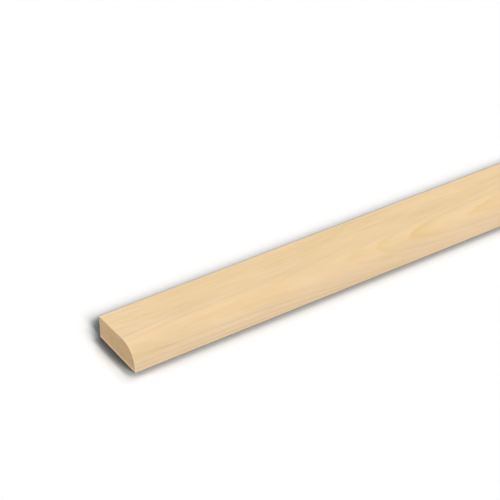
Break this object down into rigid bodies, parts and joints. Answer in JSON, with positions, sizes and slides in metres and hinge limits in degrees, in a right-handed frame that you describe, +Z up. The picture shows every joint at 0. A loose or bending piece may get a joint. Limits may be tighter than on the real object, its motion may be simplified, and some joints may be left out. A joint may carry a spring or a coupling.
{
  "type": "inside corner moulding",
  "caption": "Straight length of planed softwood moulding with two flat contact faces at a square corner and one broadly rounded long edge.",
  "frame": {"origin": "middle of the wide flat face, on the surface that the stock lies on", "axes": "+X along the length, from the sawn end that the picture shows; +Y towards the narrow square edge, so the rounded edge looks towards -Y; +Z up, out of the top face"},
  "size_m": [2.4, 0.03, 0.012],
  "materials": {
    "planed_pine": "planed, untreated"
  },
  "bodies": {
    "root": {"corner_moulding": "planed_pine"}
  },
  "joints": []
}
